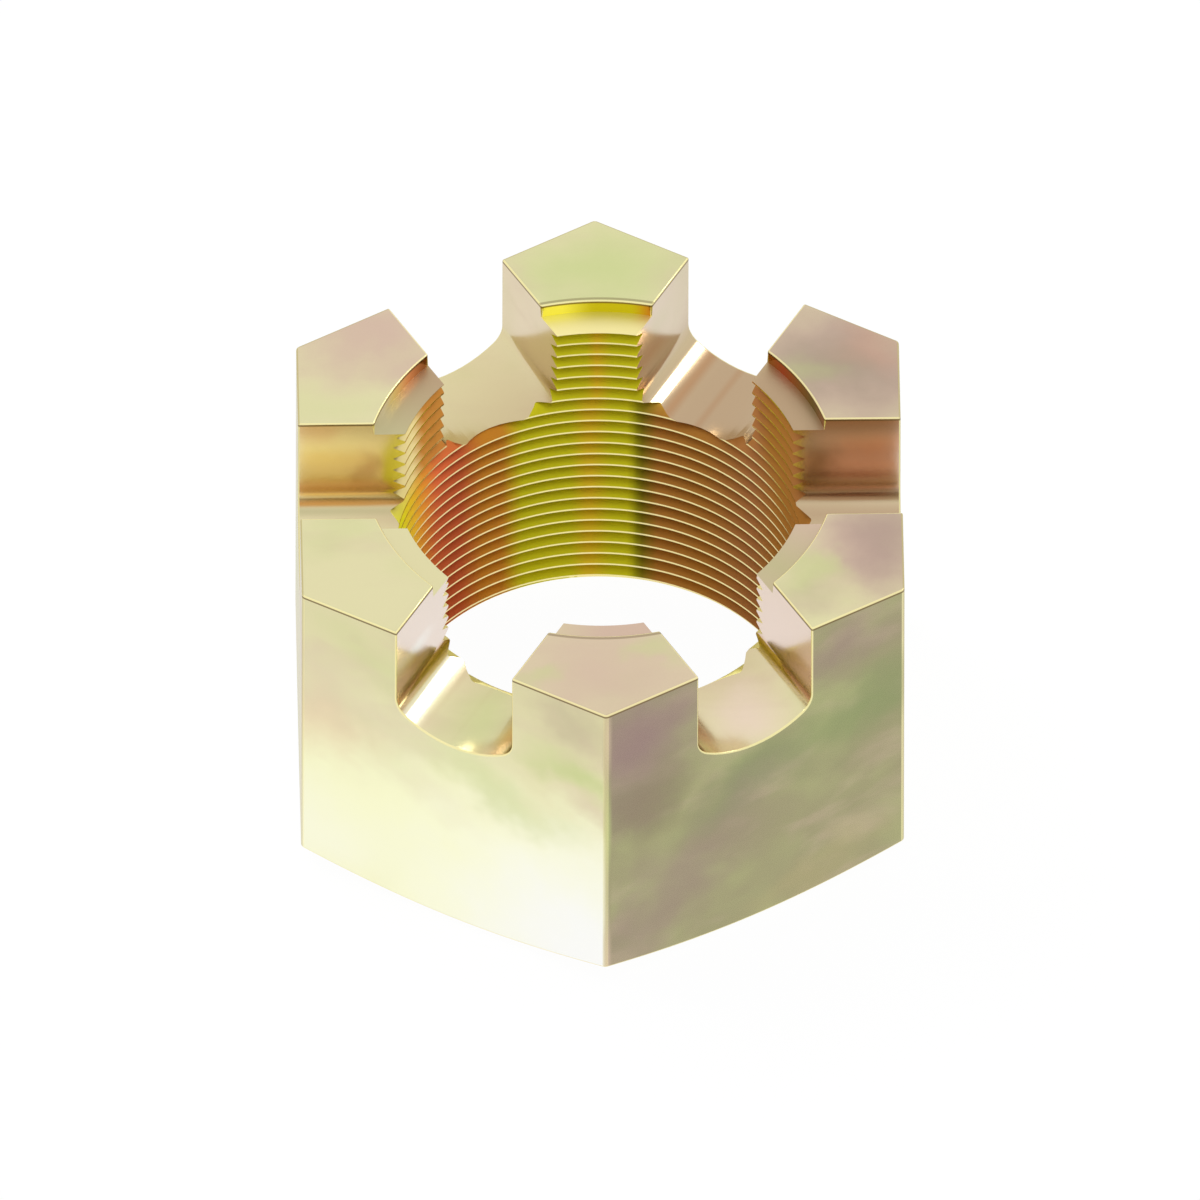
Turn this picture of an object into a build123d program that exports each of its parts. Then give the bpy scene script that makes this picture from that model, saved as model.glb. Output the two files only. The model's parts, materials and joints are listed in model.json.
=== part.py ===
from build123d import *
from math import cos, pi, radians, tan
import os

# Castle nut for a 1-1/2 inch, 18 threads per inch screw, in millimetres
# The origin is the centre of the bearing face, and +Z runs along the hole to the slotted end
# Two corners of the hexagon lie on the Y axis, so that two of its flats face +X and -X

# Hexagon bar
flat_count = 6
across_flats = 53.975
height = 33.95
corner_round = 0.5

# Cone turned off the corners at the bearing face, measured from that face
bearing_face_diameter = 51.3
bearing_cone_angle = 18.7

# Threaded hole at the thread's minor diameter, with a plain relief at each end
thread_minor_diameter = 36.7
top_relief_diameter = 42.0
top_relief_depth = 1.4
bottom_relief_diameter = 42.0
bottom_relief_depth = 1.4

# Slots for the split pin, one across each flat, with a dished floor between round corners
slot_width = 11.8
slot_depth = 11.65
slot_floor_dish = 2.2
slot_corner_radius = 2.15

# Chamfer that takes the burr off the edges of the slotted end
edge_break = 0.2

# How far a cutting body runs past the surface that it leaves
overrun = 3.0

corner_reach = across_flats / 2 / cos(pi / flat_count) + overrun


def hexagon_bar():
    """Length of hexagon bar standing on the XY plane, with its upright edges rounded."""
    first_flat_turn = 180 / flat_count
    outline = RegularPolygon(across_flats / 2, flat_count, major_radius=False, rotation=first_flat_turn)
    return extrude(fillet(outline.vertices(), corner_round), height)


def turned_body():
    """Body of revolution with the stepped hole, the bearing face and the cone above it."""
    bearing_radius = bearing_face_diameter / 2
    cone_rise = (corner_reach - bearing_radius) * tan(radians(bearing_cone_angle))
    minor_radius = thread_minor_diameter / 2
    top_relief_radius = top_relief_diameter / 2
    bottom_relief_radius = bottom_relief_diameter / 2
    hole_and_ends = Polyline(
        (corner_reach, cone_rise),
        (corner_reach, height),
        (top_relief_radius, height),
        (top_relief_radius, height - top_relief_depth),
        (minor_radius, height - top_relief_depth),
        (minor_radius, bottom_relief_depth),
        (bottom_relief_radius, bottom_relief_depth),
        (bottom_relief_radius, 0),
        (bearing_radius, 0),
    )
    # A straight line with two poles makes the cone, so it meets the flats in splines and not hyperbolas
    cone_line = Bezier((bearing_radius, 0), (corner_reach, cone_rise))
    section = make_face(hole_and_ends + cone_line)
    return revolve(Plane.XZ * section, Axis.Z)


def slot_cutter():
    """Cutting body of one slot, lying from the axis out along +X."""
    half_width = slot_width / 2
    mouth_z = height + overrun
    floor_z = height - slot_depth
    wall_foot_z = floor_z + slot_floor_dish
    walls = Polyline(
        (-half_width, wall_foot_z),
        (-half_width, mouth_z),
        (half_width, mouth_z),
        (half_width, wall_foot_z),
    )
    floor = ThreePointArc((half_width, wall_foot_z), (0, floor_z), (-half_width, wall_foot_z))
    outline = make_face(walls + floor)
    floor_corners = outline.vertices().sort_by(Axis.Y)[:2]
    outline = fillet(floor_corners, slot_corner_radius)
    return extrude(Plane.YZ * outline, corner_reach)


def castle_nut():
    """The whole nut: turned hexagon bar, slotted across its flats, with the burrs taken off."""
    nut = hexagon_bar() & turned_body()
    nut -= PolarLocations(0, flat_count) * slot_cutter()
    slotted_end = nut.faces().filter_by(Plane.XY).filter_by_position(Axis.Z, height, height)
    nut = chamfer(slotted_end.edges(), edge_break)
    nut.label = "castle_nut"
    nut.color = Color(0.80, 0.76, 0.52)
    return nut


os.makedirs("parts", exist_ok=True)
nut = castle_nut()
print("castle_nut volume in mm3:", round(nut.volume, 1))
export_step(nut, "parts/castle_nut.step")
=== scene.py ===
import json
from math import asin, atan2, cos, pi, radians, sin, sqrt, tan

import bmesh
import bpy
import numpy as np
from mathutils import Matrix, Vector


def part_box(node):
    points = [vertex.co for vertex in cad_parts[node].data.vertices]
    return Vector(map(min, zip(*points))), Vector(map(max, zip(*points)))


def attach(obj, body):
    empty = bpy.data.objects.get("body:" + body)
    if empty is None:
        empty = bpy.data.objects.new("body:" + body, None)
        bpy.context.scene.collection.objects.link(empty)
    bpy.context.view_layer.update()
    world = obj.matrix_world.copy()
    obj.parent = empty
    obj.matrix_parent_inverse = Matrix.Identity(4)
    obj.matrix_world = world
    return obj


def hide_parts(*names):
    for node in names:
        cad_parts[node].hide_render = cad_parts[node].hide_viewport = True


bl_info = {
    "name": "Castle Nut",
    "version": (1, 0, 0),
    "blender": (4, 5, 0),
    "location": "View3D > Sidebar > Castle Nut",
    "description": "Machines, taps and plates a castle nut around its solid, and sets it on a pale floor",
    "category": "Object",
}

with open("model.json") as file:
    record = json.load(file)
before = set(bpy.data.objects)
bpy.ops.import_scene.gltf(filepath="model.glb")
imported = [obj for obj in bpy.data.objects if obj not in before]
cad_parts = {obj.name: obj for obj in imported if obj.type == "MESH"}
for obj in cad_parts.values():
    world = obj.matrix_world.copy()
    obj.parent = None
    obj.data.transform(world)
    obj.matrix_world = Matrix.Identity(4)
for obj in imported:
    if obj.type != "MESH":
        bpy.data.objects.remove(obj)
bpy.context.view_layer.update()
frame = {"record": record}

NODE = "castle_nut"
PIECE = "plated_nut"
SLOT = "yellow_zinc"
FLATS = 6
MM = 0.001

low_corner, high_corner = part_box(NODE)
thread_mount = next(m for m in frame["record"]["mounts"] if m["name"] == "thread")

# The kinds of surface, as the tool that made each one left it. Each has its film's colour; how much of it is
# the thread's deep film, the relief's deep film, and worn bright, which also paints highlights on edges and
# crests;
# and the roughness of the metal under it, whether it lies in a slot, and whether on a ring.
FILM = {
    "flat": ("straw", (0, 0, 0), (0.2, 0, 0)),
    # Painted shade: the olive tone of the flat that mirrors the darker floor
    "shaded flat": ("olive", (0, 0, 0), (0.24, 0, 0)),
    "corner": ("straw", (0, 0, 0.3), (0.2, 0, 0)),
    "top": ("straw", (0, 0, 0), (0.2, 0, 0)),
    "wall": ("blush", (0, 0, 0), (0.14, 1, 0)),
    "floor": ("cream", (0, 0, 0), (0.14, 1, 0)),
    "relief": ("straw", (0, 1, 0), (0.16, 0, 0)),
    "ring": ("straw", (0, 0, 0), (0.42, 0, 1)),
    "crest": ("straw", (1, 0, 0.8), (0.16, 0, 0)),
    "cone": ("straw", (0, 0, 0), (0.2, 0, 0)),
    "bearing": ("straw", (0, 0, 0), (0.2, 0, 0)),
    "edge": ("straw", (0, 0, 0.7), (0.2, 0, 0)),
    "flank": ("straw", (1, 0, 0), (0.42, 0, 0)),
    "under flank": ("gold", (0.5, 0, 0), (0.42, 0, 0)),
}
ZONES = tuple(FILM)

# The flat whose film is painted darker, as painted shade of the darker floor that it mirrors, counted from +X
SHADED_FLAT = 5

WHITE = (1.0, 1.0, 1.0, 1.0)

# How the panel shows a length
LENGTH = {"unit": "LENGTH", "precision": 6}


def screen(red, green, blue):
    """The linear colour of a colour as a screen shows it, out of 255 each, by the sRGB curve."""
    share = np.array([red, green, blue]) / 255
    return tuple(np.where(share <= 0.04045, share / 12.92, ((share + 0.055) / 1.055) ** 2.4).tolist())


class NutSizes(bpy.types.PropertyGroup):
    """Sizes of the nut. The solid gives the first three."""

    across_flats: bpy.props.FloatProperty(
        name="Across flats", description="Width of the hexagon between two flats",
        default=high_corner.x - low_corner.x, **LENGTH)
    height: bpy.props.FloatProperty(
        name="Height", description="From the bearing face to the slotted end",
        default=high_corner.z - low_corner.z, **LENGTH)
    crest_radius: bpy.props.FloatProperty(
        name="Crest radius", description="Radius of the hole at the thread's crests",
        default=thread_mount["dims"]["r_mm"] * MM, **LENGTH)
    corner_round: bpy.props.FloatProperty(
        name="Corner round", description="Radius on the hexagon's six upright edges",
        default=0.5 * MM, **LENGTH)
    bearing_radius: bpy.props.FloatProperty(
        name="Bearing radius", description="Outer radius of the flat bearing face",
        default=25.65 * MM, **LENGTH)
    cone_angle: bpy.props.FloatProperty(
        name="Cone angle", description="Rise of the cone that takes the corners off the lower end",
        default=radians(18.7), subtype="ANGLE")
    relief_radius: bpy.props.FloatProperty(
        name="Relief radius", description="Radius of the plain recess at each end of the thread",
        default=21.0 * MM, **LENGTH)
    relief_depth: bpy.props.FloatProperty(
        name="Relief depth", description="Depth of the plain recess at each end of the thread",
        default=1.4 * MM, **LENGTH)
    slot_width: bpy.props.FloatProperty(
        name="Slot width", description="Distance between the walls of a slot",
        default=11.8 * MM, **LENGTH)
    slot_depth: bpy.props.FloatProperty(
        name="Slot depth", description="From the slotted end to the middle of a slot's floor",
        default=11.65 * MM, **LENGTH)
    floor_dish: bpy.props.FloatProperty(
        name="Floor dish", description="How far a slot's floor dips below the foot of its walls",
        default=2.2 * MM, **LENGTH)
    slot_corner: bpy.props.FloatProperty(
        name="Slot corner", description="Radius between a slot's wall and its floor",
        default=2.15 * MM, **LENGTH)
    edge_round: bpy.props.FloatProperty(
        name="Edge round", description="How far the tumbled edges are rounded back",
        default=0.15 * MM, **LENGTH)


class ThreadSizes(bpy.types.PropertyGroup):
    """Sizes of the right-hand thread in the hole."""

    pitch: bpy.props.FloatProperty(
        name="Pitch", description="Rise of the thread in one turn, 18 threads to the inch",
        default=25.4 * MM / 18, **LENGTH)
    crest_land: bpy.props.FloatProperty(
        name="Crest land", description="Width of the flat left on a crest, as a share of the pitch",
        default=0.13, min=0.02, max=0.4)
    root_land: bpy.props.FloatProperty(
        name="Root land", description="Width of the groove's bottom, as a share of the pitch",
        default=0.06, min=0.02, max=0.4)
    flank_angle: bpy.props.FloatProperty(
        name="Flank angle", description="Angle of one flank from the plane across the hole",
        default=radians(30), subtype="ANGLE")
    phase: bpy.props.FloatProperty(
        name="Phase", description="Height of one crest over the bearing face, on the +Y side",
        default=17.13 * MM, **LENGTH)
    lip: bpy.props.FloatProperty(
        name="Lip", description="Least distance between the groove and the recess at each end",
        default=0.05 * MM, **LENGTH)


# The colours of the chromate film, pale on the outer faces and deep in the hole, several of which also paint
# highlights, reflections and shade: what each one is for, and how a screen shows it, out of 255 each
FILM_COLOURS = {
    "straw": ("Main colour of the outer faces", 227, 220, 174),
    # Lemon and pearl also paint highlights
    "lemon": ("Palest film", 255, 255, 212),
    "leaf": ("Green cast of the film", 200, 212, 142),
    "rose": ("Pink cast of the film", 214, 188, 168),
    "pearl": ("Almost clear film", 255, 255, 252),
    # Mauve, olive and fern also paint shade on one flat
    "mauve": ("Dusky pink of a thicker film", 162, 138, 130),
    "olive": ("Dusky green of a thicker film", 167, 161, 124),
    "fern": ("Greenest cast of a thicker film", 146, 158, 108),
    "cream": ("Film on the slots' floors", 236, 226, 184),
    "blush": ("Film on the slots' walls", 234, 220, 192),
    "honey": ("Yellow film on a slot's wall", 253, 241, 204),
    "shell": ("Pink film on a slot's wall", 238, 213, 200),
    "sand": ("Yellow film on a slot's floor", 208, 192, 134),
    "fawn": ("Brown film on a slot's floor", 190, 164, 132),
    "dune": ("Greyish film on the ring under the slotted end", 199, 190, 148),
    # Gold is worn bright, and also paints highlights on the edges and crests
    "gold": ("Rubbed edges and crests", 254, 242, 176),
    "salmon": ("Film between pink and orange", 242, 170, 124),
    "primrose": ("Deep film, at its yellowest", 254, 251, 108),
    "citron": ("Deep film, between yellow and green", 204, 197, 34),
    "ochre": ("Deep film, between yellow and orange", 222, 188, 44),
    "moss": ("Deep film, dark green", 126, 118, 24),
    "amber": ("Deep film, orange brown", 202, 134, 46),
    "brick": ("Deep film, red", 202, 98, 58),
    "umber": ("Deep film, brown", 174, 118, 52),
    "taupe": ("Deep film, grey brown", 174, 116, 68),
    # Bronze paints dark lines of shade beside the edges and along the outline
    "bronze": ("Lines of thick film beside the rubbed edges", 120, 98, 62),
}


class FilmColours(bpy.types.PropertyGroup):
    """Colours of the chromate film, one for each row of its table."""

    __annotations__ = {
        name: bpy.props.FloatVectorProperty(
            name=name.title(), description=use, default=screen(*shade), subtype="COLOR", min=0, max=1)
        for name, (use, *shade) in FILM_COLOURS.items()
    }


class StageLook(bpy.types.PropertyGroup):
    """Where the camera stands, what it takes in, and how strong the lamps are."""

    azimuth: bpy.props.FloatProperty(
        name="Azimuth", description="Turn of the camera round the nut, from the -Y side",
        default=radians(-1.06), subtype="ANGLE")
    elevation: bpy.props.FloatProperty(
        name="Elevation", description="Angle of the camera above the floor",
        default=radians(45.57), subtype="ANGLE")
    roll: bpy.props.FloatProperty(
        name="Roll", description="Turn of the camera about its own view",
        default=radians(0.157), subtype="ANGLE")
    picture_width: bpy.props.FloatProperty(
        name="Picture width", description="Width that the picture spans at the nut",
        default=107.43 * MM, **LENGTH)
    aim_height: bpy.props.FloatProperty(
        name="Aim height", description="Height on the nut's axis that the camera looks at",
        default=17.115 * MM, **LENGTH)
    key_power: bpy.props.FloatProperty(
        name="Key power", description="Power of the large lamp, behind the nut on its left",
        default=2.4, unit="POWER")
    kicker_power: bpy.props.FloatProperty(
        name="Kicker power", description="Power of the small lamp that the nut mirrors, on its right",
        default=0.25, unit="POWER")


class Shell:
    """Gathers grids and flat polygons, and makes one closed mesh of them."""

    def __init__(self):
        self.points = []
        self.faces = []
        self.zones = []
        self.count = 0

    def keep(self, points):
        """Stores a row of points, and returns their numbers."""
        self.points.append(points)
        numbers = self.count + np.arange(len(points))
        self.count += len(points)
        return numbers

    def grid(self, zone, points):
        """Adds an array of rows by columns of points as four-sided faces between neighbours."""
        rows, columns = points.shape[:2]
        numbers = self.keep(points.reshape(-1, 3)).reshape(rows, columns)
        near, far = numbers[:-1], numbers[1:]
        quads = np.stack([near[:, :-1], near[:, 1:], far[:, 1:], far[:, :-1]], axis=-1).reshape(-1, 4)
        self.faces += quads.tolist()
        self.zones += [ZONES.index(zone)] * len(quads)

    def polygon(self, zone, *runs):
        """Adds one flat face whose outline is the runs of points, end to end."""
        self.faces.append(self.keep(np.concatenate(runs)).tolist())
        self.zones.append(ZONES.index(zone))

    def mesh(self, name):
        """Merges the seams, turns the faces outwards, and returns the mesh with a zone on each face."""
        mesh = bpy.data.meshes.new(name)
        mesh.from_pydata(np.concatenate(self.points).tolist(), [], self.faces)
        for _ in ZONES:
            mesh.materials.append(None)
        mesh.polygons.foreach_set("material_index", np.array(self.zones, np.int32))
        work = bmesh.new()
        work.from_mesh(mesh)
        seam = 0.0001 * MM
        bmesh.ops.remove_doubles(work, verts=work.verts, dist=seam)
        bmesh.ops.dissolve_degenerate(work, edges=work.edges, dist=seam)
        bmesh.ops.recalc_face_normals(work, faces=work.faces)
        work.to_mesh(mesh)
        work.free()
        return mesh


def polar(radius, angle, z):
    """Points at a radius, an angle about the nut's axis and a height, each a number or an array."""
    radius, angle, z = np.broadcast_arrays(radius, angle, z)
    return np.stack([radius * np.cos(angle), radius * np.sin(angle), z], axis=-1)


def beside(direction, reach, side, z):
    """Points at a reach along a direction, a distance to its left side and a height."""
    reach, side, z = np.broadcast_arrays(reach, side, z)
    x = reach * cos(direction) - side * sin(direction)
    y = reach * sin(direction) + side * cos(direction)
    return np.stack([x, y, z], axis=-1)


def slot_profile(sizes, steps=7):
    """Cross-section of a slot's floor from one wall's foot to the other, as sides and heights.

    The floor is an arc whose middle lies a dish below the feet. A smaller arc, tangent to the wall and to
    the floor, rounds each corner. Both are sampled at even angles, and mirrored.
    """
    half = sizes.slot_width / 2
    floor_radius = (half * half + sizes.floor_dish ** 2) / (2 * sizes.floor_dish)
    floor_centre = sizes.height - sizes.slot_depth + floor_radius
    corner_side = half - sizes.slot_corner
    drop = sqrt((floor_radius - sizes.slot_corner) ** 2 - corner_side ** 2)
    tangent = atan2(drop, corner_side)
    corner_turn = np.linspace(0, tangent, steps)
    floor_turn = np.linspace(tangent, pi / 2, steps)[1:]
    corner_z = floor_centre - drop - sizes.slot_corner * np.sin(corner_turn)
    corner_arc = corner_side + sizes.slot_corner * np.cos(corner_turn)
    side = np.concatenate([corner_arc, floor_radius * np.cos(floor_turn)])
    z = np.concatenate([corner_z, floor_centre - floor_radius * np.sin(floor_turn)])
    return np.concatenate([side, -side[-2::-1]]), np.concatenate([z, z[-2::-1]])


class Blank:
    """The nut before it is tapped, as grids and flat polygons that share their borders."""

    def __init__(self, sizes):
        self.sizes = sizes
        self.shell = Shell()
        self.apothem = sizes.across_flats / 2
        self.half_slot = sizes.slot_width / 2
        self.ring_top = sizes.height - sizes.relief_depth
        self.corner_reach = (self.apothem - sizes.corner_round) / cos(pi / FLATS)
        self.flat_end = self.corner_reach * sin(pi / FLATS)
        self.floor_side, self.floor_z = slot_profile(sizes)
        self.wall_foot = self.floor_z[0]

    def cone_z(self, radius):
        """The cone's height at a radius: its slope times the distance outside the bearing radius."""
        return (radius - self.sizes.bearing_radius) * tan(self.sizes.cone_angle)

    def merlon_angles(self, direction, radius):
        """Even angles round the axis from one wall of a merlon to the other, at a radius."""
        span = pi / FLATS - asin(self.half_slot / radius)
        return direction + np.linspace(-1, 1, 19) * span

    def flat(self, zone, direction):
        """One flat, with the slot's outline above and the curve in which the cone meets it below.

        Returns the curve, whose height is the cone's at each point's distance from the axis.
        """
        top = self.sizes.height
        edge_side = np.linspace(-self.flat_end, self.flat_end, 25)
        edge = beside(direction, self.apothem, edge_side, self.cone_z(np.hypot(self.apothem, edge_side)))
        self.shell.polygon(
            zone,
            beside(direction, self.apothem, np.array([self.flat_end, self.half_slot]), top),
            beside(direction, self.apothem, self.floor_side, self.floor_z),
            beside(direction, self.apothem, np.array([-self.half_slot, -self.flat_end]), top),
            edge,
        )
        return edge

    def corner(self, direction):
        """One rounded upright corner, from the slotted end down to the cone. Returns both ends."""
        turn = np.linspace(-pi / FLATS, pi / FLATS, 7)
        arc = polar(self.sizes.corner_round, direction + turn, 0) + polar(self.corner_reach, direction, 0)
        top = arc + [0, 0, self.sizes.height]
        edge = np.column_stack([arc[:, :2], self.cone_z(np.hypot(arc[:, 0], arc[:, 1]))])
        self.shell.grid("corner", np.stack([top, edge]))
        return top, edge

    def slot(self, direction):
        """One slot's floor, its section carried from the flat to the hole, and the hole under it.

        Returns the angles of the points on the hole.
        """
        radius = self.sizes.crest_radius
        reach = np.sqrt(radius * radius - self.floor_side * self.floor_side)
        inner = beside(direction, reach, self.floor_side, self.floor_z)
        outer = beside(direction, self.apothem, self.floor_side, self.floor_z)
        foot = beside(direction, reach, self.floor_side, self.sizes.relief_depth)
        self.shell.grid("floor", np.stack([outer, inner]))
        self.shell.grid("crest", np.stack([inner, foot]))
        return direction + np.arcsin(np.sort(self.floor_side) / radius)

    def merlon(self, direction, corner_top):
        """The merlon after the flat in a direction, and its two walls.

        It is a flat top, a step down into the relief, a ring and a stretch of hole, each carried round the
        axis from wall to wall. A wall goes up at the flat, in along the top, down the step and on to its
        foot at the hole. Returns the angles of the points on the hole.
        """
        sizes = self.sizes
        middle = direction + pi / FLATS
        next_flat = middle + pi / FLATS
        relief_angles = self.merlon_angles(middle, sizes.relief_radius)
        hole_angles = self.merlon_angles(middle, sizes.crest_radius)
        relief_rim = polar(sizes.relief_radius, relief_angles, sizes.height)
        relief_foot = polar(sizes.relief_radius, relief_angles, self.ring_top)
        self.shell.polygon(
            "top",
            beside(direction, self.apothem, np.array([self.half_slot]), sizes.height),
            corner_top,
            beside(next_flat, self.apothem, np.array([-self.half_slot]), sizes.height),
            relief_rim[::-1],
        )
        hole_heights = (self.ring_top, self.wall_foot, sizes.relief_depth)
        hole_rows = np.stack([polar(sizes.crest_radius, hole_angles, z) for z in hole_heights])
        self.shell.grid("relief", np.stack([relief_rim, relief_foot]))
        self.shell.grid("ring", np.stack([relief_foot, hole_rows[0]]))
        self.shell.grid("crest", hole_rows)
        side = self.half_slot
        radii = (sizes.relief_radius, sizes.crest_radius)
        wall_reach = np.repeat([self.apothem, *(sqrt(radius * radius - side * side) for radius in radii)], 2)
        wall_z = np.array([self.wall_foot, sizes.height, self.ring_top])[[0, 1, 1, 2, 2, 0]]
        self.shell.polygon("wall", beside(direction, wall_reach, side, wall_z))
        self.shell.polygon("wall", beside(next_flat, wall_reach, -side, wall_z))
        return hole_angles

    def foot(self, hole_angles, edge):
        """The lower relief and its ring, the cone, and the bearing face between them."""
        sizes = self.sizes
        edge_angles = np.unwrap(np.arctan2(edge[:, 1], edge[:, 0]))
        hole_step = len(hole_angles) // FLATS
        edge_step = len(edge_angles) // FLATS
        hole_angles = np.append(hole_angles, hole_angles[0] + 2 * pi)
        edge_angles = np.append(edge_angles, edge_angles[0] + 2 * pi)
        edge = np.append(edge, edge[:1], axis=0)
        hole_end = polar(sizes.crest_radius, hole_angles, sizes.relief_depth)
        relief_top = polar(sizes.relief_radius, hole_angles, sizes.relief_depth)
        self.shell.grid("ring", np.stack([hole_end, relief_top]))
        self.shell.grid("relief", np.stack([relief_top, polar(sizes.relief_radius, hole_angles, 0)]))
        self.shell.grid("cone", np.stack([edge, polar(sizes.bearing_radius, edge_angles, 0)]))
        for number in range(FLATS):
            inner = hole_angles[number * hole_step:(number + 1) * hole_step + 1]
            outer = edge_angles[number * edge_step:(number + 1) * edge_step + 1]
            rim = polar(sizes.bearing_radius, outer, 0)[::-1]
            self.shell.polygon("bearing", polar(sizes.relief_radius, inner, 0), rim)

    def built(self):
        """The whole blank: a flat, a corner, a slot and a merlon for each side, then the foot."""
        hole_angles = []
        edge = []
        for number in range(FLATS):
            direction = number * 2 * pi / FLATS
            flat_edge = self.flat("shaded flat" if number == SHADED_FLAT else "flat", direction)
            corner_top, corner_edge = self.corner(direction + pi / FLATS)
            edge += [flat_edge[:-1], corner_edge[:-1]]
            hole_angles += [self.slot(direction)[:-1], self.merlon(direction, corner_top)[:-1]]
        self.foot(np.concatenate(hole_angles), np.concatenate(edge))
        return self.shell


def round_edges(mesh, sizes):
    """Rounds each sharp outward edge that isn't on the hole's wall, as tumbling and plating do."""
    work = bmesh.new()
    work.from_mesh(mesh)
    near_hole = sizes.crest_radius + 0.1 * MM
    least_turn = radians(15)
    sharp = [
        edge for edge in work.edges
        if edge.calc_face_angle_signed(0) > least_turn and min(v.co.xy.length for v in edge.verts) > near_hole
    ]
    bmesh.ops.bevel(
        work, geom=sharp, offset=sizes.edge_round, segments=3, profile=0.5, affect="EDGES",
        material=ZONES.index("edge"), clamp_overlap=False)
    work.to_mesh(mesh)
    work.free()


def tap_mesh(sizes, thread, steps=96):
    """A tap's cut: the groove's section carried up a helix, closed at both ends.

    At an angle t from +Y the groove's middle is at the phase, plus half a pitch, plus the pitch times t over
    a full turn. Its section is two flanks that close on the root: two points at the mouth and two at the
    root, in order round it, with the first again to close it. Where a recess is near, the edge on that
    side stops a lip short of it, and the section draws back towards the axis until it fits between the two
    edges, so that the groove runs out and leaves the recess whole.
    """
    groove = thread.pitch * (1 - thread.crest_land)
    root = thread.pitch * thread.root_land
    flank = tan(thread.flank_angle)
    inset = 0.1 * MM
    radii = np.array([sizes.crest_radius - inset, sizes.crest_radius + (groove - root) / 2 / flank])
    halves = np.array([groove / 2 + inset * flank, root / 2])
    low_end = sizes.relief_depth + thread.lip
    high_end = sizes.height - sizes.relief_depth - thread.lip
    start = thread.phase + thread.pitch / 2
    first = (low_end - groove / 2 - start) / thread.pitch
    last = (high_end + groove / 2 - start) / thread.pitch
    turn = np.linspace(first, last, int((last - first) * steps) + 1)
    middle = start + thread.pitch * turn
    upper = np.minimum(middle + groove / 2, high_end)
    lower = np.maximum(middle - groove / 2, low_end)
    draw = (groove - (upper - lower)) / 2 / flank
    at_root = np.array([0, 1, 1, 0, 0])
    side = np.array([-1, -1, 1, 1, -1])
    ring_radius = radii[at_root] - draw[:, None]
    ring_z = (upper + lower)[:, None] / 2 + side * halves[at_root]
    rows = polar(ring_radius, (pi / 2 + 2 * pi * turn)[:, None], ring_z)
    shell = Shell()
    shell.grid("flank", rows[:, :3])
    shell.grid("under flank", rows[:, 2:])
    shell.polygon("flank", rows[0, :-1])
    shell.polygon("flank", rows[-1, :-1])
    return shell.mesh("tap")


def tapped(mesh, tool):
    """The mesh with the tool's mesh cut out of it."""
    body = bpy.data.objects.new("body", mesh)
    cutter = bpy.data.objects.new("cutter", tool)
    for item in (body, cutter):
        bpy.context.scene.collection.objects.link(item)
    cut = body.modifiers.new("tap", "BOOLEAN")
    cut.operation = "DIFFERENCE"
    cut.solver = "MANIFOLD"
    cut.object = cutter
    result = evaluated_mesh(body)
    bpy.data.objects.remove(body)
    bpy.data.objects.remove(cutter)
    return result


def evaluated_mesh(item):
    """A new mesh with the object's modifiers applied."""
    graph = bpy.context.evaluated_depsgraph_get()
    return bpy.data.meshes.new_from_object(item.evaluated_get(graph), depsgraph=graph)


def write_film(mesh, film):
    """Turns each face's zone into three attributes: the film's colour, its kind, and the metal under it."""
    zone = np.zeros(len(mesh.polygons), np.int32)
    mesh.polygons.foreach_get("material_index", zone)
    colours, kinds, metals = zip(*FILM.values())
    tones = [opaque(getattr(film, colour)) for colour in colours]
    for name, kind, field, values in (
            ("film_tone", "FLOAT_COLOR", "color", tones),
            ("film_kind", "FLOAT_VECTOR", "vector", kinds),
            ("film_metal", "FLOAT_VECTOR", "vector", metals)):
        layer = mesh.attributes.new(name, kind, "FACE")
        layer.data.foreach_set(field, np.array(values, np.float32)[zone].ravel())
    mesh.polygons.foreach_set("material_index", np.zeros_like(zone))
    mesh.materials.clear()


def shade_machined(nut):
    """Shades flats flat and rounds round, and keeps the edges that a tool left sharp."""
    nut.data.shade_smooth()
    nut.data.set_sharp_from_angle(angle=radians(35))
    weigh = nut.modifiers.new("weigh", "WEIGHTED_NORMAL")
    weigh.keep_sharp = True
    weigh.weight = 100
    nut.data = evaluated_mesh(nut)
    nut.modifiers.clear()


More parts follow.
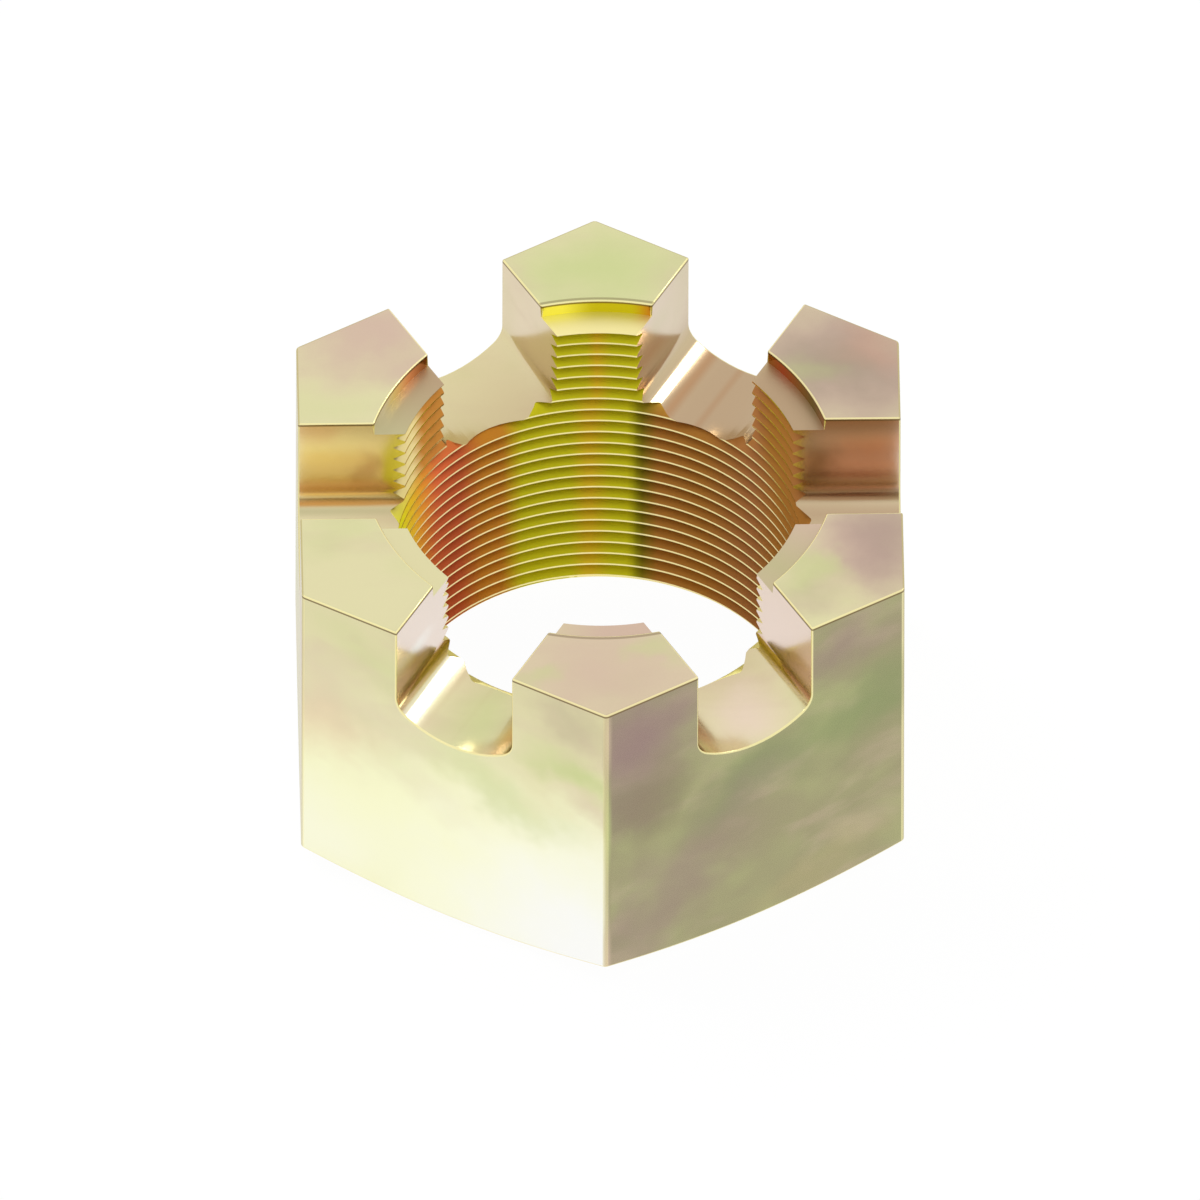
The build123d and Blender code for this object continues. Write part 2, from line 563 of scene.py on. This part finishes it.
class Board:
    """Lays out the nodes of a material or a group in a row, each with its inputs fed."""

    spacing = 200

    def __init__(self, tree):
        self.tree = tree
        self.tree.nodes.clear()

    def add(self, kind, inputs=None, **settings):
        """Adds a node, applies its settings, and feeds each input with a value or another node's output."""
        node = self.tree.nodes.new(kind)
        node.location = (self.spacing * len(self.tree.nodes), 0)
        for name, value in settings.items():
            setattr(node, name, value)
        for name, value in (inputs or {}).items():
            if isinstance(value, bpy.types.NodeSocket):
                self.tree.links.new(value, node.inputs[name])
            else:
                node.inputs[name].default_value = value
        return node

    def math(self, operation, *values):
        """One step of arithmetic on numbers."""
        return self.add("ShaderNodeMath", dict(enumerate(values)), operation=operation).outputs[0]

    def vector(self, operation, *values):
        """One step of arithmetic on vectors."""
        return self.add("ShaderNodeVectorMath", dict(enumerate(values)), operation=operation).outputs[0]

    def attribute(self, name, output):
        """What write_film stored on the faces under a name."""
        return self.add("ShaderNodeAttribute", attribute_name=name).outputs[output]

    def split(self, vector):
        """The three parts of a vector."""
        return self.add("ShaderNodeSeparateXYZ", {0: vector}).outputs

    def mix(self, factor, first, second, blend="MIX"):
        """Mixes two colours. The node takes them at inputs 6 and 7, and gives the mix at output 2."""
        inputs = {0: factor, 6: opaque(first), 7: opaque(second)}
        return self.add("ShaderNodeMix", inputs, data_type="RGBA", blend_type=blend).outputs[2]

    def ease(self, value, low, high):
        """0 below low and 1 above high, with a smooth way between."""
        inputs = {"Value": value, "From Min": low, "From Max": high}
        return self.add("ShaderNodeMapRange", inputs, interpolation_type="SMOOTHSTEP").outputs[0]

    def band(self, value, start, rise, fall, end):
        """1 from rise to fall, and 0 before start and past end, with smooth ways between."""
        return self.math("MULTIPLY", self.ease(value, start, rise), self.ease(value, end, fall))

    def ramp(self, factor, stops):
        """A colour ramp through the stops, each a place and a colour."""
        node = self.add("ShaderNodeValToRGB", {"Fac": factor})
        elements = node.color_ramp.elements
        elements[1].position = stops[-1][0]
        elements[0].position = stops[0][0]
        for place, _ in stops[1:-1]:
            elements.new(place)
        for element, (_, colour) in zip(elements, stops):
            element.color = opaque(colour)
        return node.outputs["Color"]

    def noise(self, vector, scale, detail=3.0, roughness=0.5, distortion=0.0):
        """A noise texture's node."""
        inputs = {
            "Vector": vector, "Scale": scale, "Detail": detail,
            "Roughness": roughness, "Distortion": distortion,
        }
        return self.add("ShaderNodeTexNoise", inputs)


def opaque(colour):
    """The colour with an alpha, or a socket as it is."""
    return colour if isinstance(colour, bpy.types.NodeSocket) else (*colour[:3], 1.0)


def wash_group():
    """A soft spot of colour, for film and for painted light: 1 at its centre, and 0 past its reach along its
    own turned axes.
    """
    group = bpy.data.node_groups.new("Film wash", "ShaderNodeTree")
    for name in ("Position", "Centre", "Turn", "Reach"):
        group.interface.new_socket(name, in_out="INPUT", socket_type="NodeSocketVector")
    for name, side in (("Strength", "INPUT"), ("Mask", "OUTPUT")):
        group.interface.new_socket(name, in_out=side, socket_type="NodeSocketFloat")
    board = Board(group)
    given = board.add("NodeGroupInput").outputs
    local = board.add("ShaderNodeMapping", {
        "Vector": given["Position"], "Location": given["Centre"],
        "Rotation": given["Turn"], "Scale": given["Reach"],
    }, vector_type="TEXTURE")
    nearness = board.add("ShaderNodeTexGradient", {"Vector": local.outputs[0]}, gradient_type="SPHERICAL")
    spot = board.ease(nearness.outputs["Fac"], 0.0, 1.0)
    board.add("NodeGroupOutput", {"Mask": board.math("MULTIPLY", spot, given["Strength"])})
    return group


# Lengths that many washes share, in millimetres: from the axis to midway along a slot, from a slot's middle
# to its wall, up to its floor, through the skin of a wall, and past the end of any face
MIDWAY = 22.7
WALL = 5.9
FLOOR = 22.4
SKIN = 0.5
WHOLE = 60.0

# The reach, height and three reaches of a wash over all of a wall, and of one over all of a slot's floor
ALL_WALL = (MIDWAY, 29, WHOLE, SKIN, WHOLE)
ALL_FLOOR = (MIDWAY, FLOOR, WHOLE, 30, 6)

# Washes of film on the flats, and on flats 4 and 5 painted highlight and shade: flat, side, height, reach
# aside, reach up, tilt in degrees, colour, strength. The flats are counted from +X, anticlockwise, and all
# lengths are in millimetres.
FLAT_WASHES = (
    (0, -9, 24, 12, 9, 20, "rose", 0.6),
    (0, 10, 12, 14, 6, -20, "leaf", 0.5),
    (1, 8, 27, 12, 8, -15, "mauve", 0.4),
    (1, -8, 14, 13, 6, 20, "leaf", 0.7),
    (1, 6, 5, 14, 5, 10, "rose", 0.5),
    (2, -10, 25, 11, 9, 15, "rose", 0.8),
    (2, 8, 16, 13, 5, -20, "leaf", 0.7),
    (2, 0, 2, 24, 10, 0, "lemon", 0.8),
    (3, 10, 26, 11, 8, -20, "rose", 0.6),
    (3, -9, 13, 13, 7, 20, "leaf", 0.6),
    (4, -13, 20.5, 8, 9.5, 15, "rose", 0.65),
    (4, -8, 29, 8, 4, -20, "leaf", 0.3),
    # The lemon and pearl washes on this flat paint a highlight: the bright floor that it mirrors, brightest
    # low on its right
    (4, 0, 4, WHOLE, 30, 0, "lemon", 1),
    (4, 2, 10, 40, 13, 0, "lemon", 1),
    (4, 5, 18.5, 11, 4, -20, "leaf", 0.45),
    (4, -3, 15, 9, 3, -20, "rose", 0.15),
    (4, 14, 2, 25, 21, 0, "pearl", 1),
    (4, -14, 5, 12, 9, 0, "pearl", 0.3),
    (4, 12, 31, 8, 5, -20, "mauve", 0.3),
    (4, 12.5, 24.5, 8, 3.5, -25, "leaf", 0.7),
    (4, 14, 20.5, 5, 2.5, -20, "rose", 0.4),
    (4, -14, 19, 9, 6.5, 15, "salmon", 0.15),
    # The mauve, fern, olive and bronze washes on this flat paint shade: the darker floor that it mirrors
    (5, -12, 29, 11, 11, 20, "mauve", 1),
    (5, -11, 21, 8, 5, 20, "fern", 0.5),
    (5, -12, 21, 8, 5, 20, "mauve", 0.6),
    (5, -11, 21, 9, 6, 20, "bronze", 0.2),
    (5, 9.5, 29.5, 7, 5, 20, "mauve", 0.6),
    (5, 12, 21.5, 11, 6, 20, "fern", 0.8),
    (5, 0, 18, 12, 4.5, 20, "fern", 0.8),
    (5, -1, 17, 8, 3.5, 20, "mauve", 0.3),
    (5, -7, 10.5, 13, 6.5, 25, "mauve", 0.6),
    (5, -11, 5, 10, 6, 20, "mauve", 0.5),
    (5, 6, 3, 12, 4, 20, "sand", 0.2),
    (5, -15.4, 17, 0.6, WHOLE, 0, "olive", 0.9),
    (5, -15.4, 19, 0.6, 8, 0, "leaf", 0.6),
    (5, -15.4, 31, 0.6, 8, 0, "rose", 0.7),
    (5, -15.4, 2, 0.6, 9, 0, "rose", 0.8),
)

# Washes of film on the slotted end: x, y, reach along x, reach along y, turn in degrees, colour, strength
TOP_WASHES = (
    (-20, 17, 11, 8, 30, "rose", 1),
    (-17, 13, 5, 3, 30, "rose", 0.8),
    (-25, 8, 8, 4, 0, "leaf", 0.2),
    (0, 24.5, 14, 9, 0, "leaf", 0.7),
    (9.5, 24, 6, 6, 0, "rose", 0.45),
    (-9.5, 23, 5, 5, 0, "rose", 0.3),
    (21, 13, 22, 16, 0, "rose", 1),
    (23, 13, 18, 12, 0, "mauve", 0.65),
    (20, 12.5, 8, 5, -15, "fern", 0.25),
    (18.5, 12, 4.5, 3, -15, "leaf", 0.3),
    (25, 15, 6, 5, 0, "salmon", 0.15),
    (24, -10, 12, 10, 0, "rose", 1),
    (26, -9, 9, 8, 0, "mauve", 0.6),
    (18, -13.9, 5.5, 3.2, 25, "leaf", 0.5),
    (20.5, -12.8, 4, 2.2, -10, "leaf", 0.35),
    (18, -16.5, 6, 4, 0, "mauve", 0.25),
    (0, -26, 22, 14, 0, "rose", 0.85),
    (-6.5, -26.3, 4, 2, 20, "leaf", 0.4),
    (4.2, -22.3, 4, 2, 20, "leaf", 0.4),
)

# Washes in the slots: slot, side, reach from the axis, height, reach along the slot, across it and up,
# colour, strength. The slots are counted as the flats are. Over the film's own colours, the washes on the
# walls of slots 0,
# 3, 4 and 5 paint what those walls mirror: pale ones are painted highlights, and dark bands are painted
#                                           reflection and shade.
SLOT_WASHES = (
    (3, 0, *ALL_FLOOR, "sand", 0.25),
    (3, 2, MIDWAY, 22.5, WHOLE, 2, 3, "gold", 1),
    (3, -1.5, MIDWAY, FLOOR, WHOLE, 1.8, 3, "sand", 0.6),
    (3, -4.9, MIDWAY, 23.8, WHOLE, 1, 0.6, "dune", 1),
    (3, -WALL, *ALL_WALL, "honey", 1),
    (3, WALL, *ALL_WALL, "honey", 1),
    # Painted reflection on this wall: salmon and sand bands, a taupe patch, and salmon, amber and bronze
    # bands of painted shade at its foot
    (3, -WALL, 25.5, 34, 5, SKIN, 3.5, "salmon", 0.5),
    (3, -WALL, MIDWAY, 35, WHOLE, SKIN, 4, "sand", 0.5),
    (3, -WALL, 21, 28, 2, SKIN, 3.5, "taupe", 0.4),
    (3, -WALL, MIDWAY, 25.8, WHOLE, SKIN, 1.4, "salmon", 0.6),
    (3, -5.4, MIDWAY, 24.3, WHOLE, 0.6, 0.5, "amber", 0.8),
    (3, -5.6, MIDWAY, 24.6, WHOLE, 0.5, 0.3, "bronze", 0.5),
    (0, 0, *ALL_FLOOR, "fawn", 0.75),
    (0, -WALL, *ALL_WALL, "shell", 1),
    (0, 0, MIDWAY, FLOOR, WHOLE, 2.5, 3, "salmon", 0.3),
    (0, 4.3, MIDWAY, 23.4, WHOLE, 1.2, 0.9, "fawn", 0.9),
    (0, WALL, *ALL_WALL, "shell", 1),
    # Painted reflection on this wall: taupe, bronze and moss bands of painted shade, and a salmon painted
    # highlight
    (0, WALL, MIDWAY, 34, WHOLE, SKIN, 4, "taupe", 0.8),
    (0, WALL, MIDWAY, 32.5, WHOLE, SKIN, 7, "bronze", 0.3),
    (0, WALL, 25, 30.8, 6, SKIN, 2.2, "salmon", 0.45),
    (0, WALL, 19.5, 28.5, 3.5, SKIN, 5, "bronze", 0.45),
    (0, WALL, 19.5, 27.5, 4.5, SKIN, 5, "moss", 0.3),
    (0, WALL, MIDWAY, 26.2, WHOLE, SKIN, 2, "moss", 0.2),
    (0, 5.7, MIDWAY, 24.3, WHOLE, 0.7, 1.3, "bronze", 1),
    (2, 0, *ALL_FLOOR, "sand", 0.35),
    (2, -WALL, *ALL_WALL, "sand", 0.25),
    (1, 0, *ALL_FLOOR, "fawn", 1),
    (1, WALL, *ALL_WALL, "mauve", 0.2),
    (1, 3.4, MIDWAY, 22.8, WHOLE, 0.9, 1.5, "taupe", 0.5),
    (1, 0.5, MIDWAY, FLOOR, WHOLE, 0.6, 1.5, "taupe", 0.25),
    (4, -WALL, *ALL_WALL, "shell", 0.9),
    (4, -WALL, *ALL_WALL, "pearl", 0.4),
    # A pearl spot of painted highlight on this wall, an amber band of painted shade at its foot, and a pearl
    # painted highlight on the floor's corner
    (4, -WALL, 24.7, 28.5, 6, SKIN, 1.8, "pearl", 0.9),
    (4, WALL, *ALL_WALL, "pearl", 0.7),
    (4, -WALL, MIDWAY, 24.9, WHOLE, SKIN, 1, "amber", 0.5),
    (4, -4.8, MIDWAY, 23.2, WHOLE, 1.6, 1.6, "pearl", 0.3),
    (4, 1, MIDWAY, FLOOR, 9, 5, 3, "leaf", 0.55),
    (5, WALL, *ALL_WALL, "shell", 0.9),
    (5, WALL, *ALL_WALL, "pearl", 0.2),
    (5, -WALL, *ALL_WALL, "pearl", 0.7),
    # An amber band of painted shade at the wall's foot
    (5, WALL, MIDWAY, 24.9, WHOLE, SKIN, 1, "amber", 0.5),
    (5, 1, 23.5, FLOOR, 6, 5, 3, "shell", 0.6),
)


def outer_spots(sizes):
    """Each wash on the flats and the slotted end: its centre, turn, reach, waver, colour's name and strength.

    Lengths are in millimetres. The waver is a heading about the nut's axis and, for the three axes turned to
    it, 1 where the outline wavers and 0 through the surface. A narrow strip doesn't waver.
    """
    apothem = sizes.across_flats / 2 / MM
    top = sizes.height / MM
    depth = 0.4
    strip = 1.0
    for flat, side, z, aside, up, tilt, colour, strength in FLAT_WASHES:
        direction = flat * 2 * pi / FLATS
        centre = beside(direction, apothem, side, z).tolist()
        heading = direction + pi / 2
        turn = (0.0, -radians(tilt), heading)
        sway = 1 if aside > strip else 0
        yield centre, turn, (aside, depth, up), (heading, (sway, 0, sway)), colour, strength
    for x, y, along_x, along_y, angle, colour, strength in TOP_WASHES:
        turn = (0.0, 0.0, radians(angle))
        yield (x, y, top), turn, (along_x, along_y, depth), (0.0, (1, 1, 0)), colour, strength


def slot_spots():
    """Each wash in the slots, with the same six values."""
    for slot, side, reach, z, along, across, up, colour, strength in SLOT_WASHES:
        direction = slot * 2 * pi / FLATS
        centre = beside(direction, reach, side, z).tolist()
        yield centre, (0.0, 0.0, direction), (along, across, up), (direction, (1, 0, 0)), colour, strength


# The film round the thread, round its stretch on the merlons, round the relief and round the ring: degrees
# from +Y towards +X, and colour
THREAD_FILM = (
    (-180, "primrose"), (-150, "gold"), (-120, "primrose"), (-88, "citron"), (-72, "citron"),
    (-58, "amber"), (-51, "brick"), (-41, "brick"), (-33, "amber"), (-27, "amber"), (-21, "citron"),
    (-7, "citron"), (-2, "ochre"), (4, "citron"), (9, "citron"), (12, "moss"), (17, "umber"),
    (31, "umber"), (48, "taupe"), (60, "umber"), (75, "umber"), (88, "umber"), (120, "primrose"),
    (150, "gold"), (180, "primrose"),
)
MERLON_FILM = (
    (-180, "gold"), (-100, "gold"), (-80, "primrose"), (-74, "sand"), (-64, "sand"), (-58, "umber"),
    (-46, "umber"), (-30, "ochre"), (-14, "citron"), (-3, "citron"), (0, "ochre"), (4, "citron"),
    (12, "citron"), (30, "umber"), (45, "umber"), (50, "taupe"), (56, "umber"), (66, "umber"),
    (73, "taupe"), (85, "umber"), (100, "gold"), (180, "gold"),
)
# The pearl stops on the back left paint a highlight on the relief
RELIEF_FILM = (
    (-180, "citron"), (-120, "amber"), (-74, "pearl"), (-66, "pearl"), (-61, "gold"), (-54, "salmon"),
    (-48, "taupe"), (-30, "ochre"), (-13, "primrose"), (-8, "primrose"), (-1, "citron"), (9, "citron"),
    (13, "amber"), (30, "umber"), (47, "umber"), (52, "brick"), (58, "umber"), (66, "moss"),
    (73, "taupe"), (110, "ochre"), (180, "citron"),
)
RING_FILM = (
    (-180, "rose"), (-150, "straw"), (-100, "straw"), (-72, "dune"), (-48, "fawn"), (-20, "gold"),
    (15, "gold"), (50, "fawn"), (75, "fawn"), (105, "rose"), (125, "dune"), (150, "rose"),
    (180, "rose"),
)


def clouded(board, position, tone, film):
    """The tone of each face, clouded with leaf by an even slow noise and with rose by a drawn-out one."""
    clouds = board.noise(position, scale=0.09, distortion=0.3)
    drawn_out = board.add(
        "ShaderNodeMapping", {"Vector": position, "Rotation": (0.5, 0.6, 0.2), "Scale": (0.05, 0.2, 0.2)})
    wisps = board.noise(drawn_out.outputs[0], scale=1.0, roughness=0.55, distortion=0.3)
    most = 0.35
    for noise, cast in ((clouds, film.leaf), (wisps, film.rose)):
        share = board.math("MULTIPLY", board.ease(noise.outputs["Fac"], 0.45, 0.75), most)
        tone = board.mix(share, tone, cast)
    return tone


class Washes:
    """Lays washes over a colour. A noise shifts the position that they read, so their outlines waver."""

    # The waver's full width, in millimetres
    width = 8.0

    def __init__(self, board, position, film):
        self.board = board
        self.position = position
        self.film = film
        noise = board.noise(position, scale=0.16, roughness=0.55)
        self.shift = board.vector("SUBTRACT", noise.outputs["Color"], (0.5, 0.5, 0.5))
        self.group = wash_group()
        self.places = {}

    def place(self, heading, along):
        """The position, shifted along the three axes turned by a heading. Each is made only once."""
        if (heading, along) not in self.places:
            widths = tuple(self.width * share for share in along)
            shift = self.board.vector("MULTIPLY", self.shift, widths)
            turned = self.board.add(
                "ShaderNodeVectorRotate", {"Vector": shift, "Angle": heading}, rotation_type="Z_AXIS")
            self.places[heading, along] = self.board.vector("ADD", self.position, turned.outputs[0])
        return self.places[heading, along]

    def over(self, base, spots):
        """The base colour with each spot laid over it in turn."""
        for centre, turn, reach, waver, colour, strength in spots:
            inputs = {
                "Position": self.place(*waver), "Centre": centre, "Turn": turn, "Reach": reach,
                "Strength": strength,
            }
            mask = self.board.add("ShaderNodeGroup", inputs, node_tree=self.group).outputs[0]
            base = self.board.mix(mask, base, getattr(self.film, colour))
        return base


def deep_films(board, x, y, film):
    """The films of the thread, the merlons' thread, the relief and the ring, by the direction from the axis.

    The direction's angle from +Y towards +X, over a full turn, is a place from 0 to 1 on each ramp.
    """
    angle = board.math("ARCTAN2", x, y)
    around = board.math("MULTIPLY_ADD", angle, 1 / (2 * pi), 0.5)
    return [
        board.ramp(around, [(degrees / 360 + 0.5, getattr(film, name)) for degrees, name in stops])
        for stops in (THREAD_FILM, MERLON_FILM, RELIEF_FILM, RING_FILM)
    ]


def painted_shade_lines(board, colour, position, axes, worn_and_highlit, sizes, film):
    """The colour with dark lines of painted shade over it, beside the worn edges of the slotted end.

    One runs just under that end, between two heights. One lies on it round the relief's rim, between two
    radii, and fades out towards the side merlons. The outline, a painted dark rim, follows the two side flats
    and the two rear ones, where the farther reach towards them comes to the apothem, and goes on more weakly
    down the rounded corners.
    """
    x, y, z = axes
    top = sizes.height / MM
    rim = sizes.relief_radius / MM
    apothem = sizes.across_flats / 2 / MM
    edge_share = 0.85
    rim_share = 0.5
    outline_share = 0.5
    corner_share = 0.4
    fade_start = 9.0
    fade_end = 12.0

    # Painted shade: a dark line just under the slotted end's edge
    under_edge = board.band(z, top - 0.35, top - 0.25, top - 0.14, top - 0.08)
    colour = board.mix(board.math("MULTIPLY", under_edge, edge_share), colour, film.bronze)

    # Painted shade: a dark line round the relief's rim on the front and back merlons
    level = board.vector("MULTIPLY", position, (1, 1, 0))
    radius = board.add("ShaderNodeVectorMath", {0: level}, operation="LENGTH").outputs["Value"]
    round_rim = board.band(radius, rim + 0.12, rim + 0.2, rim + 0.4, rim + 0.5)
    on_top = board.ease(z, top - 0.1, top - 0.02)
    round_rim = board.math("MULTIPLY", round_rim, on_top)
    aside = board.math("ABSOLUTE", x)
    round_rim = board.math("MULTIPLY", round_rim, board.ease(aside, fade_end, fade_start))
    colour = board.mix(board.math("MULTIPLY", round_rim, rim_share), colour, film.bronze)

    # Painted shade: a dark rim along the outline of the side and rear flats
    back = board.math("MULTIPLY", y, cos(pi / FLATS))
    slant = board.math("MULTIPLY_ADD", aside, sin(pi / FLATS), back)
    reach = board.math("MAXIMUM", aside, slant)
    outline = board.ease(reach, apothem - 0.2, apothem - 0.1)
    on_corner = board.math("MULTIPLY", board.ease(worn_and_highlit, 0.05, 0.25), corner_share)
    outline = board.math("MULTIPLY", outline, board.math("MAXIMUM", on_top, on_corner))
    return board.mix(board.math("MULTIPLY", outline, outline_share), colour, film.bronze)


def zinc_material(sizes, film):
    """Bright zinc under a yellow chromate film.

    Each kind of face has its own tone, clouded, with washes over it, and other washes in the slots; some of
    the washes paint highlights, reflections and shade. The thread, the relief and its ring take deep films
    that change round the axis, and the thread takes another film above the slots' floors. Worn edges and
    crests go to gold, also as painted highlight, with dark lines of painted shade beside them.
    A fine grain breaks up the colour, the roughness and the surface.
    """
    material = bpy.data.materials.new(SLOT)
    material.use_nodes = True
    board = Board(material.node_tree)
    place = board.add("ShaderNodeTexCoord").outputs["Object"]
    position = board.add("ShaderNodeVectorMath", {0: place, "Scale": 1 / MM}, operation="SCALE").outputs[0]
    tone = board.attribute("film_tone", "Color")
    in_thread, in_relief, worn_and_highlit = board.split(board.attribute("film_kind", "Vector"))
    smooth, in_slot, on_ring = board.split(board.attribute("film_metal", "Vector"))

    tone = clouded(board, position, tone, film)
    washes = Washes(board, position, film)
    colour = board.mix(in_slot, washes.over(tone, outer_spots(sizes)), washes.over(tone, slot_spots()))

    axes = board.split(position)
    thread, merlon_thread, relief, ring = deep_films(board, axes[0], axes[1], film)
    floor_z = (sizes.height - sizes.slot_depth) / MM
    change = 3.0
    thread = board.mix(board.ease(axes[2], floor_z, floor_z + change), thread, merlon_thread)
    # The worn share turns edges and crests gold: worn paler, and also a painted highlight
    for share, deep in ((in_thread, thread), (in_relief, relief), (on_ring, ring), (worn_and_highlit, film.gold)):
        colour = board.mix(share, colour, deep)
    colour = painted_shade_lines(board, colour, position, axes, worn_and_highlit, sizes, film)

    grain = board.noise(position, scale=6.0, roughness=0.6).outputs["Fac"]
    grain_tone = (0.99, 0.99, 0.985)
    grain_roughness = 0.08
    grain_depth = 0.01 * MM
    grained = board.mix(1.0, colour, grain_tone, "MULTIPLY")
    colour = board.mix(board.ease(grain, 0.3, 0.7), grained, colour)
    rough = board.math("MULTIPLY_ADD", grain, grain_roughness, smooth)
    bump = board.add("ShaderNodeBump", {"Strength": 0.06, "Distance": grain_depth, "Height": grain})
    shader = board.add("ShaderNodeBsdfPrincipled", {
        "Base Color": colour, "Metallic": 1.0, "Roughness": rough, "Normal": bump.outputs[0],
        "Specular Tint": (0.86, 0.83, 0.8, 1.0)})
    board.add("ShaderNodeOutputMaterial", {"Surface": shader.outputs[0]})
    return material


class NUT_OT_machine(bpy.types.Operator):
    """Turn, slot, tumble and tap the nut"""

    bl_idname = "nut.machine"
    bl_label = "Machine the nut"

    def execute(self, context):
        sizes = context.scene.nut_sizes
        mesh = Blank(sizes).built().mesh(PIECE)
        round_edges(mesh, sizes)
        mesh = tapped(mesh, tap_mesh(sizes, context.scene.nut_thread))
        write_film(mesh, context.scene.nut_film)
        nut = bpy.data.objects.new(PIECE, mesh)
        context.scene.collection.objects.link(nut)
        shade_machined(nut)
        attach(nut, "root")
        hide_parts(NODE)
        return {"FINISHED"}


class NUT_OT_plate(bpy.types.Operator):
    """Plate the nut with zinc, and pass it through yellow chromate"""

    bl_idname = "nut.plate"
    bl_label = "Plate the nut"

    def execute(self, context):
        nut = bpy.data.objects[PIECE]
        nut.data.materials.clear()
        nut.data.materials.append(zinc_material(context.scene.nut_sizes, context.scene.nut_film))
        return {"FINISHED"}


def seen_directly(board):
    """1 on rays that the camera sees, straight, mirrored or through glass, and 0 on the rest."""
    rays = board.add("ShaderNodeLightPath").outputs
    seen = board.math("MAXIMUM", rays["Is Camera Ray"], rays["Is Glossy Ray"])
    return board.math("MAXIMUM", seen, rays["Is Transmission Ray"])


def floor_material():
    """White where it is seen or mirrored, with a share of plain diffuse that takes the shadow."""
    material = bpy.data.materials.new("pale_floor")
    material.use_nodes = True
    board = Board(material.node_tree)
    glow_share = 0.95
    diffuse = board.add("ShaderNodeBsdfDiffuse", {"Color": (0.9, 0.9, 0.9, 1.0)})
    glow = board.add("ShaderNodeEmission", {"Color": WHITE, "Strength": 1.02})
    share = board.math("MULTIPLY", seen_directly(board), glow_share)
    mixed = board.add("ShaderNodeMixShader", {0: share, 1: diffuse.outputs[0], 2: glow.outputs[0]})
    board.add("ShaderNodeOutputMaterial", {"Surface": mixed.outputs[0]})
    return material


def pale_floor():
    """A square floor, a hair below the bearing face so that the two never share a plane."""
    half = 2.0
    below = -0.02 * MM
    corners = ((-half, -half), (half, -half), (half, half), (-half, half))
    shell = Shell()
    shell.polygon("flat", np.array([(x, y, below) for x, y in corners]))
    mesh = shell.mesh("floor")
    mesh.materials.clear()
    mesh.materials.append(floor_material())
    return bpy.data.objects.new("floor", mesh)


def studio_world():
    """A white world, at full strength where it is seen or mirrored, and weaker as light on the nut."""
    world = bpy.data.worlds.new("studio")
    world.use_nodes = True
    board = Board(world.node_tree)
    light = 0.6
    level = board.math("MULTIPLY_ADD", seen_directly(board), 1 - light, light)
    sky = board.add("ShaderNodeBackground", {"Color": WHITE, "Strength": level})
    board.add("ShaderNodeOutputWorld", {"Surface": sky.outputs[0]})
    return world


def soft_lamp(name, direction, distance, size, watts, mirrored):
    """A square lamp in a direction from the nut, turned to face it, that the nut mirrors or not."""
    data = bpy.data.lights.new(name, "AREA")
    data.size = size
    data.energy = watts
    lamp = bpy.data.objects.new(name, data)
    lamp.visible_glossy = mirrored
    towards = Vector(direction).normalized()
    turn = towards.to_track_quat("Z", "Y").to_matrix().to_4x4()
    lamp.matrix_world = Matrix.Translation(towards * distance) @ turn
    return lamp


def picture_camera(look):
    """A camera in parallel projection, aimed at the nut's axis by its azimuth and elevation, and rolled."""
    data = bpy.data.cameras.new("camera")
    data.type = "ORTHO"
    data.ortho_scale = look.picture_width
    camera = bpy.data.objects.new("camera", data)
    distance = 0.5
    level = cos(look.elevation)
    back = Vector((sin(look.azimuth) * level, -cos(look.azimuth) * level, sin(look.elevation)))
    turn = (-back).to_track_quat("-Z", "Y").to_matrix().to_4x4()
    aim = Vector((0, 0, look.aim_height))
    place = Matrix.Translation(aim + back * distance)
    camera.matrix_world = place @ turn @ Matrix.Rotation(look.roll, 4, "Z")
    return camera


class NUT_OT_stage(bpy.types.Operator):
    """Set the floor, the lights and the camera"""

    bl_idname = "nut.stage"
    bl_label = "Set the stage"

    def execute(self, context):
        scene = context.scene
        look = scene.nut_stage
        scene.view_settings.view_transform = "Standard"
        floor = pale_floor()
        scene.collection.objects.link(floor)
        scene.world = studio_world()
        key = soft_lamp(
            "key", (-0.5, 0.4, 0.8), distance=0.8, size=0.5, watts=look.key_power, mirrored=False)
        kicker = soft_lamp(
            "kicker", (0.69, 0.3, 0.66), distance=0.6, size=0.09, watts=look.kicker_power, mirrored=True)
        camera = picture_camera(look)
        for item in (key, kicker, camera):
            scene.collection.objects.link(item)
        scene.camera = camera
        return {"FINISHED"}


class NUT_PT_panel(bpy.types.Panel):
    """Sizes, colours and steps of the castle nut"""

    bl_idname = "NUT_PT_panel"
    bl_label = "Castle Nut"
    bl_space_type = "VIEW_3D"
    bl_region_type = "UI"
    bl_category = "Castle Nut"

    def draw(self, context):
        for group, step in PANEL_ROWS:
            box = self.layout.box()
            settings = getattr(context.scene, group)
            for name in settings.bl_rna.properties.keys():
                if name not in ("rna_type", "name"):
                    box.prop(settings, name)
            if step:
                box.operator(step)


GROUPS = {
    "nut_sizes": NutSizes,
    "nut_thread": ThreadSizes,
    "nut_film": FilmColours,
    "nut_stage": StageLook,
}
PANEL_ROWS = (
    ("nut_sizes", None), ("nut_thread", "nut.machine"), ("nut_film", "nut.plate"), ("nut_stage", "nut.stage"),
)
CLASSES = (*GROUPS.values(), NUT_OT_machine, NUT_OT_plate, NUT_OT_stage, NUT_PT_panel)


def register():
    for item in CLASSES:
        bpy.utils.register_class(item)
    for name, group in GROUPS.items():
        setattr(bpy.types.Scene, name, bpy.props.PointerProperty(type=group))


def unregister():
    for name in GROUPS:
        delattr(bpy.types.Scene, name)
    for item in reversed(CLASSES):
        bpy.utils.unregister_class(item)


def main():
    """Makes the nut and its stage."""
    register()
    bpy.ops.nut.machine()
    bpy.ops.nut.plate()
    bpy.ops.nut.stage()


if __name__ == "__main__":
    main()
